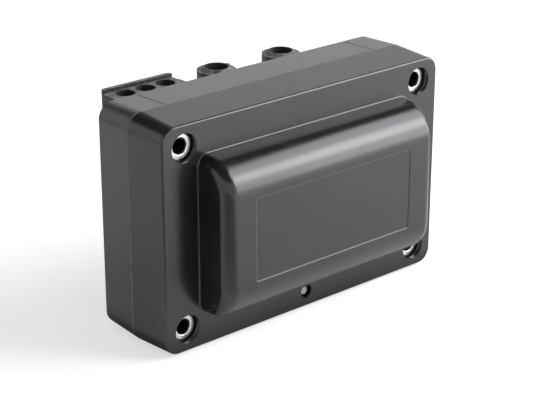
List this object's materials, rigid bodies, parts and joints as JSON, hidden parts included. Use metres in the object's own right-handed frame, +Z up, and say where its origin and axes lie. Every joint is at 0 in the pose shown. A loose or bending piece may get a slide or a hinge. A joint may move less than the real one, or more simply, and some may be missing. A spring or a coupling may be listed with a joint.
{
  "type": "ignition transformer",
  "caption": "Black moulded box with a domed front, metal-lined fixing holes, a mains inlet and high-voltage sockets behind its top edge.",
  "frame": {"origin": "centre of the fixing-hole rectangle on the rear mounting plane", "axes": "+X to the right seen from the front, +Y to the rear through the panel, +Z up, the way the sockets point"},
  "size_m": [0.1194, 0.065, 0.078],
  "materials": {
    "case_plastic": "semi-gloss moulded",
    "terminal_plastic": "matt moulded",
    "eyelet_metal": "bright nickel plate",
    "contact_brass": "plain",
    "window_plastic": "milky",
    "lamp_plastic": "diffused",
    "board_laminate": "solder mask",
    "ferrite": "sintered",
    "former_plastic": "plain",
    "copper_wire": "enamelled",
    "lead_insulation": "silicone",
    "resin": "cast",
    "aluminium_sink": "extruded",
    "component_black": "moulded",
    "component_sleeve": "shrink sleeve",
    "component_box": "potted box",
    "absorber_coat": "dipped coat",
    "fuse_body": "ceramic"
  },
  "bodies": {
    "root": {"front_cover": "case_plastic", "rear_frame": "case_plastic", "mains_inlet": "terminal_plastic", "socket_left": "terminal_plastic", "socket_right": "terminal_plastic", "indicator_window": "window_plastic", "indicator_lamp": "lamp_plastic", "circuit_board": "board_laminate", "core_lower": "ferrite", "core_upper": "ferrite", "potting_resin": "resin", "line_choke": "copper_wire", "surge_absorber": "absorber_coat", "fuse": "fuse_body", "film_capacitor": "component_box", "rectifier": "component_black", "storage_capacitor": "component_sleeve", "heat_sink": "aluminium_sink", "switching_transistor": "component_black", "eyelet_top_left": "eyelet_metal", "eyelet_top_right": "eyelet_metal", "eyelet_bottom_left": "eyelet_metal", "eyelet_bottom_right": "eyelet_metal", "blade_live": "contact_brass", "lead_live": "lead_insulation", "blade_earth": "contact_brass", "lead_earth": "lead_insulation", "blade_neutral": "contact_brass", "lead_neutral": "lead_insulation", "contact_pin_left": "contact_brass", "high_voltage_lead_left": "lead_insulation", "bobbin_left": "former_plastic", "primary_coil_left": "copper_wire", "high_voltage_coil_left": "copper_wire", "contact_pin_right": "contact_brass", "high_voltage_lead_right": "lead_insulation", "bobbin_right": "former_plastic", "primary_coil_right": "copper_wire", "high_voltage_coil_right": "copper_wire"}
  },
  "joints": []
}
